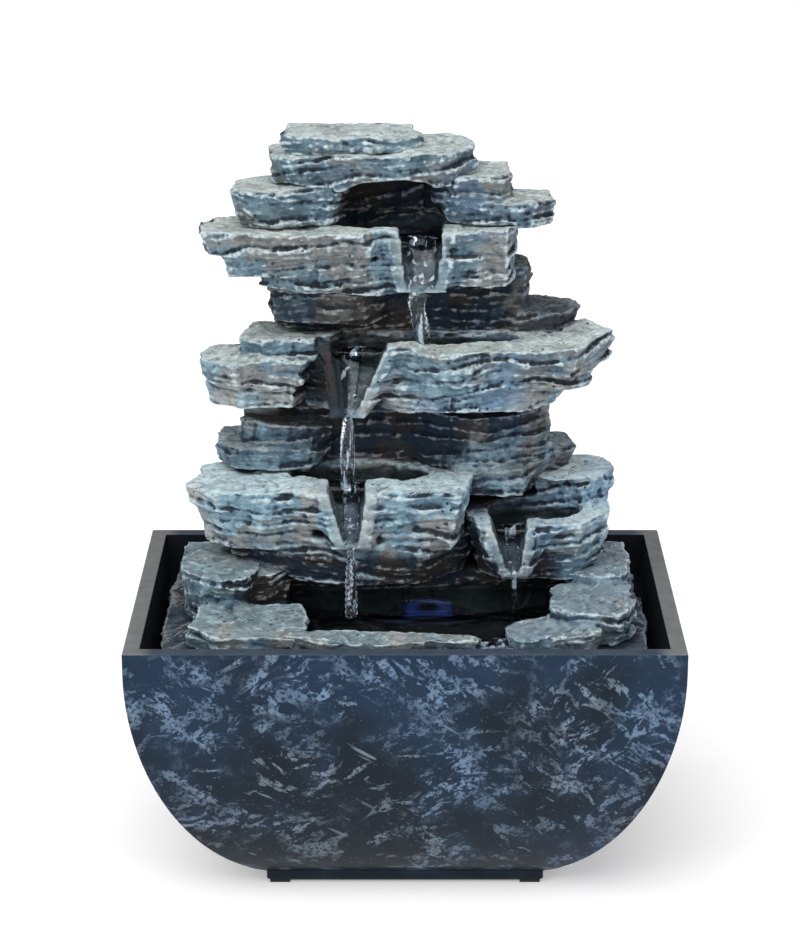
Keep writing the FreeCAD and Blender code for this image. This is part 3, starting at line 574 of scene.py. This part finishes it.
def paint_masks(mesh, around, extra_shade):
    """Stores where the brush left pale paint, where the wash ran, where it is wet, the tints, the painted
    light on the tops and the painted shade.
    """
    points, normals = read_mesh(mesh)
    x, y, z = points.T
    up = normals[:, 2]
    # Edges and cracks, from how the surface bends close by and further round
    tight = around(((evened(points, around) - points) * normals).sum(1))
    wide = tight
    for _ in range(10):
        wide = around(wide)
    bend = 1.0 * tight + 1.1 * wide
    edge = np.clip(-bend / 0.13, 0, 1)
    hollow = np.clip(bend / 0.12, 0, 1)
    rims, channel, dim = spout_masks(points)
    edge *= 1 - 0.8 * dim
    # Painted shade, from places closed to the light, each stone's own added shade, and the low walls behind
    # the pool under the tier above
    low_wall_shade = (1 - smooth_between(z, 120, 133)) * smooth_between(y, -28, -22)
    low_wall_shade = low_wall_shade * (1 - smooth_between(np.abs(x + 8), 62, 74))
    low_wall_shade = low_wall_shade * (1 - smooth_between(up, 0.3, 0.7)) * (1 - rims)
    shade = 1 - smooth_between(light_at(points + normals * 2.5), 0.08, 0.50) + extra_shade
    shade = np.clip(np.maximum(shade, np.maximum(0.95 * low_wall_shade, 0.9 * dim)), 0, 1)
    # The sill that the pool spills over stays pale under its thin water
    sill = (np.abs(x - 33) < 14) * (1 - smooth_between(y, -46, -40)) * (z < 106)
    shade = shade * (1 - 0.8 * sill)
    wet = np.maximum(basin_mask(points), 0.72 * channel) * (1 - 0.85 * sill)
    # Tints: brown on the sides, blue to the right and high up, and tops painted pale as lit from above, more
    # so higher up
    brown = swell(points / 19 + 11.7) + 0.35 * swell(points / 6) - 0.2 * up
    blue = swell(points / 24 + 43.1) + 0.008 * (x - 5) + 0.25 * smooth_between(z, 238, 262)
    top = smooth_between(up, 0.5, 0.9) * (0.30 + 0.70 * smooth_between(z, 125, 210))
    store(mesh, "paint", (edge, hollow, wet, rims * (1 - channel) * (1 - dim)))
    brown = smooth_between(brown, -0.12, 0.40)
    store(mesh, "tints", (brown, smooth_between(blue, 0.05, 0.6), top, shade))


grey_dark, grey_light = (0.094, 0.168, 0.219), (0.206, 0.313, 0.377)
brown_tint, blue_tint = (0.258, 0.246, 0.222), (0.112, 0.188, 0.305)
lit_top_pale, spout_grey = (0.640, 0.700, 0.660), (0.290, 0.335, 0.320)
brush_warm, brush_cool = (0.66, 0.74, 0.71), (0.49, 0.67, 0.77)
wash_and_shade_blue, wash_and_shade_black = (0.030, 0.060, 0.104), (0.010, 0.013, 0.018)
shade_blue, shade_brown = (0.008, 0.016, 0.031), (0.024, 0.020, 0.019)
shaded_edge_warm, shaded_edge_blue = (0.46, 0.45, 0.44), (0.38, 0.44, 0.62)
wet_slate, pit_black = (0.028, 0.040, 0.044), (0.010, 0.010, 0.011)

slate = Shader("painted slate")
worn, hollow, wet, rims = slate.masks("paint")
brown, blue, top, shade = slate.masks("tints")
mottle = slate.ramp(slate.noise(120, 5, 0.68), 0.32, 0.68)
fleck = slate.noise(620, 4, 0.72)
bedding = slate.noise(90, 5, 0.7, slate.scaled(1, 1, 5), 0.8)
grain = slate.noise(300, 5, 0.7)
# By height, the lower tier is palest, and the fronts of the highest stones are a little darker
height = slate.axis("Z")
rising_to_lower_tier = slate.ramp(height, 0.120, 0.138, 0.90, 1.68)
falling_above_lower_tier = slate.ramp(height, 0.160, 0.205, 1.68, 1.02)
high_fronts = slate.math("MAXIMUM", slate.ramp(height, 0.235, 0.255, 1.0, 0.80), top)
height_tone = slate.math("MULTIPLY", slate.math("MINIMUM", rising_to_lower_tier, falling_above_lower_tier), high_fronts)
# Ground coat, tints, and tops painted pale as lit from above
coat = slate.mix(mottle, grey_dark, grey_light)
coat = slate.mix(slate.math("MULTIPLY", brown, 0.74), coat, brown_tint)
coat = slate.mix(slate.math("MULTIPLY", blue, 0.50), coat, blue_tint)
flecked_lit_top = slate.math("MULTIPLY", top, slate.ramp(fleck, 0.3, 0.6, 0.40, 0.85))
coat = slate.mix(flecked_lit_top, coat, lit_top_pale)
coat = slate.dim(coat, slate.ramp(bedding, 0.33, 0.62, 0.68, 1.12))
coat = slate.dim(coat, slate.math("MULTIPLY", height_tone, slate.ramp(grain, 0.34, 0.62, 0.72, 1.14)))
# Dry brush on the edges, then the wash in the cracks, deepened by painted shade, blue in the shallower ones
brushed = slate.ramp(fleck, 0.34, 0.58, 0.10, 0.95)
dry = slate.math("MULTIPLY", slate.ramp(worn, 0.14, 0.62), brushed)
coat = slate.mix(dry, coat, slate.mix(slate.noise(60), brush_warm, brush_cool))
spout_share = slate.math("MULTIPLY", rims, slate.ramp(mottle, 0, 1, 0.15, 0.40))
coat = slate.mix(spout_share, coat, spout_grey)
washed_and_shaded = slate.math("ADD", hollow, slate.ramp(fleck, 0.3, 0.7, -0.12, 0.12))
coat = slate.mix(slate.ramp(washed_and_shaded, 0.09, 0.60, 0.0, 0.64), coat, wash_and_shade_blue)
coat = slate.mix(slate.ramp(washed_and_shaded, 0.50, 1.04, 0.0, 0.90), coat, wash_and_shade_black)
# Shade with its own dimmer edges, wet places and pits
shaded = slate.math("ADD", shade, slate.ramp(mottle, 0, 1, 0.06, -0.10))
in_shade = slate.ramp(shaded, 0.22, 0.90, 0.0, 0.945)
coat = slate.mix(in_shade, coat, slate.mix(brown, shade_blue, shade_brown))
shaded_edge = slate.math("MULTIPLY", dry, slate.ramp(shaded, 0.4, 1.0, 0.0, 0.66))
coat = slate.mix(shaded_edge, coat, slate.mix(blue, shaded_edge_warm, shaded_edge_blue))
coat = slate.mix(slate.math("MULTIPLY", wet, 0.94), coat, wet_slate)
pits = slate.add("ShaderNodeTexVoronoi", {"feature": "F1"}, Scale=330.0, Vector=slate.place)
pit_size = slate.ramp(slate.noise(110, 2), 0.52, 0.64, 0.01, 0.20)
pitted = slate.math("LESS_THAN", pits.outputs["Distance"], pit_size)
coat = slate.mix(slate.math("MULTIPLY", pitted, 0.85), coat, pit_black)
dullness = slate.ramp(wet, 0, 1, slate.ramp(shaded, 0.3, 0.9, 0.62, 0.90), 0.15)
slate.set(Base_Color=coat, Roughness=dullness, Specular_IOR_Level=0.22)
rough = slate.math("ADD", slate.math("MULTIPLY", bedding, 1.2), slate.math("ADD", grain, fleck))
slate.bump(rough, 0.7, 0.0011)

for number, (node, (dip, extra_shade)) in enumerate(stone_nodes.items()):
    voxel = large_stone_voxels.get(node, stone_voxel)
    piece = carve_slate(node, "slate_" + node, voxel, number + 1, dip, extra_shade)
    piece.data.materials.append(slate.material)
    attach(piece, "cascade")
    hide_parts(node)


# Water: it stands in the basins, runs through the spouts as clear ropes and falls from tier to tier.
# The ropes twist as they fall, and the pool spills over a low lip at the front.
water_ior = 1.33
water = Shader("clear water")
# Pale streaks along the ropes: aerated water, with painted highlights in them as well
aerated_glint_streaks = water.ramp(water.noise(420, 3, 0.6, water.scaled(1, 1, 0.10), 0.6), 0.57, 0.66)
water.set(Base_Color=water.mix(aerated_glint_streaks, (0.86, 0.93, 1.0), (0.55, 0.66, 0.80)))
water.set(Roughness=0.03, IOR=water_ior, Transmission_Weight=water.ramp(aerated_glint_streaks, 0, 1, 1.0, 0.35))
water.bump(water.noise(160, 2), 0.10, 0.0008)
still = Shader("still water")
still.set(Base_Color=still.mix(still.noise(40), (0.80, 0.90, 0.93), (0.90, 0.96, 1.0)))
still.set(Roughness=0.02, IOR=water_ior, Transmission_Weight=1.0)
still.bump(still.noise(70, 2), 0.10, 0.0010)
sheet_overlap = 1.04
sheet_thickness = 0.0012


def finish_water(piece, look):
    smooth_faces(piece.data)
    piece.data.materials.append(look.material)
    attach(piece, "cascade")


for number, (left, right, front, back, level) in enumerate(basins):
    bpy.ops.object.select_all(action="DESELECT")
    bpy.ops.mesh.primitive_circle_add(vertices=48, radius=1, fill_type="NGON", location=(0, 0, 0))
    sheet = bpy.context.active_object
    sheet.name = "basin_water_%d" % (number + 1)
    for vertex in sheet.data.vertices:
        reach = (abs(vertex.co.x) ** 3 + abs(vertex.co.y) ** 3) ** (-1 / 3)
        across = vertex.co.x * reach * (right - left) / 2 * sheet_overlap
        along = vertex.co.y * reach * (back - front) / 2 * sheet_overlap
        vertex.co.x = ((left + right) / 2 + across) / mm
        vertex.co.y = ((front + back) / 2 + along) / mm
        vertex.co.z = level / mm
    apply_modifier(sheet, "SOLIDIFY", thickness=sheet_thickness, offset=-1)
    finish_water(sheet, still)

rope_step = 0.5
rope_sides = 20
ripple_rate = 2.4


def water_rope(name, stops, twist, ripple):
    """A rope of water through (x, y, z, half width, half thickness) stops, in millimetres."""
    stops = np.array(stops, dtype=float)
    gaps = np.linalg.norm(np.diff(stops[:, :3], axis=0), axis=1)
    along = np.concatenate([[0], np.cumsum(gaps)])
    count = int(along[-1] / rope_step)
    places = np.linspace(0, along[-1], count)
    path = np.stack([np.interp(places, along, stops[:, k]) for k in range(5)], axis=1)
    for _ in range(12):
        path[1:-1] = 0.25 * path[:-2] + 0.5 * path[1:-1] + 0.25 * path[2:]
    across = np.array([1.0, 0.0, 0.0])
    points = []
    for k, (x, y, z, wide, thick) in enumerate(path):
        ahead = path[min(k + 1, count - 1), :3] - path[max(k - 1, 0), :3]
        ahead = ahead / np.linalg.norm(ahead)
        out = np.cross(ahead, across)
        falling = smooth_between(abs(ahead[2]), 0.75, 0.97)
        swing = twist * falling * places[k]
        pulse = 1 + ripple * falling * math.sin(places[k] * ripple_rate)
        for m in range(rope_sides):
            angle = math.tau * m / rope_sides
            c = math.cos(angle) * wide * pulse
            s = math.sin(angle) * thick * pulse
            turned_c = c * math.cos(swing) - s * math.sin(swing)
            turned_s = c * math.sin(swing) + s * math.cos(swing)
            points.append((np.array([x, y, z]) + across * turned_c + out * turned_s) / mm)
    total = len(points)
    rope_faces = [tuple(range(rope_sides)), tuple(range(total - 1, total - rope_sides - 1, -1))]
    for low in range(0, total - rope_sides, rope_sides):
        high = low + rope_sides
        for m in range(rope_sides):
            n = (m + 1) % rope_sides
            rope_faces.append((low + m, high + m, high + n, low + n))
    rope_mesh = bpy.data.meshes.new(name)
    rope_mesh.from_pydata([tuple(p) for p in points], [], rope_faces)
    rope = bpy.data.objects.new(name, rope_mesh)
    take_up(rope)
    edit_all(bpy.ops.mesh.normals_make_consistent, inside=False)
    finish_water(rope, water)


water_rope("upper_fall", [
    (6.5, 22, 242.0, 5.6, 0.9), (6.5, 16, 240.5, 5.6, 0.9), (6.4, 7, 228.6, 5.6, 1.0),
    (5.6, 4.0, 225.6, 5.2, 1.6), (4.2, 3.4, 221.5, 3.6, 2.0), (4.8, 3.8, 217.5, 2.7, 2.2),
    (6.0, 4.6, 212, 3.5, 2.4), (7.0, 5.6, 206, 3.3, 2.6), (7.4, 6.6, 199.6, 2.8, 2.6),
], 0.09, 0.04)
water_rope("middle_fall", [
    (-20, 15, 200.2, 5, 0.8), (-21, 9, 197.6, 4.4, 0.8), (-21.6, -2, 180.4, 3.2, 1.1),
    (-21.8, -4.4, 177.4, 3.3, 1.7), (-22.0, -4.2, 168, 3.1, 2.1), (-22.0, -2.8, 158, 2.8, 2.2),
    (-22.0, -0.8, 147.2, 2.7, 2.4),
], 0.06, 0.05)
water_rope("lower_fall", [
    (-20.8, 9, 147.3, 4.6, 0.7), (-20.8, 3, 144.4, 3.6, 0.8), (-20.7, -17, 132.0, 2.6, 1.0),
    (-20.7, -19.4, 129.6, 2.5, 1.4), (-20.7, -20.0, 122, 2.3, 1.7), (-20.6, -20.2, 112, 2.2, 1.8),
    (-20.6, -20.4, 103.0, 2.2, 2.0),
], 0.05, 0.10)
water_rope("right_fall", [
    (41.4, 6, 131.2, 4.0, 0.7), (41.6, 1, 129.0, 2.8, 0.7), (41.9, -14, 119.2, 1.8, 0.8),
    (41.9, -15.8, 117.4, 1.6, 0.9), (41.9, -16.4, 111, 1.3, 0.9), (41.9, -16.6, 103.0, 1.2, 1.0),
], 0.05, 0.08)
water_rope("front_spill", [
    (33, -44, 103.0, 10.5, 0.5), (33, -50, 102.9, 10.0, 0.6), (33, -57, 102.4, 9.5, 0.7),
    (33, -58.6, 100.6, 9.0, 0.7), (33, -59.2, 97.0, 8.6, 0.6),
], 0.0, 0.0)


# Pool lamp: a sealed puck in the pool's floor, with a black moulded housing seated on a rubber ring.
# Six blue chip LEDs on a green board shine through its clear lens as a dim ring.
def dress(node, shader):
    """Gives a CAD node, whose shape stays, its own material."""
    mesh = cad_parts[node].data
    mesh.materials.clear()
    mesh.materials.append(shader.material)


def plain(name, low, high, rough, scale=300):
    """A moulded surface: a colour that varies a little, with a fine grain."""
    shader = Shader(name)
    shader.set(Base_Color=shader.mix(shader.noise(scale), low, high), Roughness=rough)
    shader.bump(shader.noise(4 * scale), 0.05, 0.0002)
    return shader


lamp_x, lamp_y = 0.009, -0.008
lens = Shader("lamp lens")
radius = lens.place
for operation, operand in (("SUBTRACT", (lamp_x, lamp_y, 0)), ("MULTIPLY", (1, 1, 0))):
    step = lens.add("ShaderNodeVectorMath", {"operation": operation})
    lens.feed(step.inputs[0], radius)
    step.inputs[1].default_value = operand
    radius = step.outputs["Vector"]
length = lens.add("ShaderNodeVectorMath", {"operation": "LENGTH"})
lens.feed(length.inputs[0], radius)
radius = length.outputs["Value"]
ring_inside = lens.ramp(radius, 0.002, 0.0065)
ring_outside = lens.ramp(radius, 0.0075, 0.0099, 1, 0.15)
ring = lens.math("MULTIPLY", ring_inside, ring_outside)
lens.set(Base_Color=lens.mix(ring, (0.006, 0.008, 0.014), (0.02, 0.04, 0.12)), Roughness=0.15)
lens.set(Emission_Color=(0.06, 0.12, 0.75), Emission_Strength=lens.math("MULTIPLY", ring, 0.055))
black_plastic = plain("black moulded plastic", (0.010, 0.010, 0.011), (0.018, 0.018, 0.020), 0.45)
black_rubber = plain("black rubber", (0.008, 0.008, 0.008), (0.014, 0.014, 0.014), 0.8)
green_board = plain("green circuit board", (0.010, 0.060, 0.025), (0.016, 0.085, 0.035), 0.4, 500)
led = Shader("blue chip LED")
led.set(Base_Color=led.mix(led.noise(900), (0.30, 0.42, 0.9), (0.5, 0.6, 1.0)), Roughness=0.3)
led.set(Emission_Color=(0.08, 0.18, 1.0), Emission_Strength=1.0)
dress("lamp_lens", lens)
dress("lamp_housing", black_plastic)
dress("lamp_seal", black_rubber)
dress("lamp_board", green_board)
dress("lamp_leds", led)


# Pump, hose and pads: a small submersible pump of black mouldings, held to the bowl's floor by suction cups.
# A clear PVC hose pushed on its outlet carries the water up, and rubber pads stand under the bowl's foot.
clear_hose = Shader("clear hose")
clear_hose.set(
    Base_Color=clear_hose.mix(clear_hose.noise(200), (0.72, 0.80, 0.82), (0.80, 0.86, 0.87))
)
clear_hose.set(Roughness=0.2, IOR=1.5, Transmission_Weight=0.85)
for node in ("pump_housing", "pump_cover", "inlet_strainer"):
    dress(node, black_plastic)
for node in ("pump_seal", "shaft_bushes", "cable_gland", "foot_pads"):
    dress(node, black_rubber)
dress("flow_dial", plain("grey dial plastic", (0.090, 0.098, 0.105), (0.12, 0.13, 0.14), 0.5))
dress("pump_impeller", plain("white rotor plastic", (0.70, 0.70, 0.67), (0.80, 0.80, 0.77), 0.4))
dress("pump_shaft", plain("ceramic shaft", (0.82, 0.80, 0.75), (0.88, 0.86, 0.82), 0.2))
dress("suction_cups", plain("cloudy soft rubber", (0.45, 0.48, 0.50), (0.58, 0.61, 0.63), 0.35))
dress("riser_hose", clear_hose)


# Table and backdrop: a plain white sweep, lit softly from the front and above.
# The world is white to the camera and dimmer to the object, so that its paint keeps its own tones.
bpy.ops.object.select_all(action="DESELECT")
bpy.ops.mesh.primitive_plane_add(size=10, location=(0, 0, -0.0002))
table = bpy.context.active_object
table.name = "white_table"
white = Shader("white table")
white.set(Base_Color=(0.84, 0.832, 0.835), Roughness=0.9, Specular_IOR_Level=0.0)
white.set(Emission_Color=(1.0, 0.99, 0.993), Emission_Strength=0.30)
table.data.materials.append(white.material)

world = bpy.data.worlds.new("studio")
bpy.context.scene.world = world
world.use_nodes = True
world_nodes, world_links = world.node_tree.nodes, world.node_tree.links
backdrop = world_nodes["Background"]
backdrop.inputs["Color"].default_value = (1, 0.99, 0.993, 1)
rays = world_nodes.new("ShaderNodeLightPath").outputs
diffuse = world_nodes.new("ShaderNodeMix")
diffuse.inputs[2].default_value = 1.0
diffuse.inputs[3].default_value = 0.42
world_links.new(rays["Is Diffuse Ray"], diffuse.inputs[0])
glossy = world_nodes.new("ShaderNodeMix")
glossy.inputs[3].default_value = 0.30
world_links.new(rays["Is Glossy Ray"], glossy.inputs[0])
world_links.new(diffuse.outputs[0], glossy.inputs[2])
world_links.new(glossy.outputs[0], backdrop.inputs["Strength"])


def add_light(kind, name, place, target, power):
    """A light at a place that looks at a target."""
    bpy.ops.object.light_add(type=kind, location=place)
    light = bpy.context.active_object
    light.name = name
    light.data.energy = power
    light.rotation_euler = (Vector(target) - Vector(place)).to_track_quat("-Z", "Y").to_euler()
    return light.data


for name, place, power in (
    ("key light", (-0.25, -0.60, 1.15), 2.1), ("fill light", (0.7, -1.0, 0.45), 0.30),
):
    add_light("SUN", name, place, (0, 0, 0), power).angle = math.radians(60)
for name, place, width, power in (
    ("left softbox", (-0.75, -0.9, 0.55), 0.22, 2.2), ("right softbox", (0.7, -1.0, 0.75), 0.18, 1.6),
):
    softbox = add_light("AREA", name, place, (0, 0, 0.17), power)
    softbox.shape = "RECTANGLE"
    softbox.size = width
    softbox.size_y = 2 * width

# Camera: at the photograph's height and distance, looking a little down.
# The photograph is 945 pixels high, and its object stands 5 of them right of the middle.
tilt = math.radians(18.02)
look_z = 0.1545
distance = 1.1235
bpy.ops.object.camera_add(
    location=(0, -distance * math.cos(tilt), look_z + distance * math.sin(tilt)),
    rotation=(math.pi / 2 - tilt, 0, 0),
)
camera = bpy.context.active_object
camera.data.lens = 111.35
camera.data.sensor_width = 36
camera.data.shift_x = -5 / 945
camera.data.clip_start = 0.01
bpy.context.scene.camera = camera
bpy.context.scene.view_settings.view_transform = "Standard"
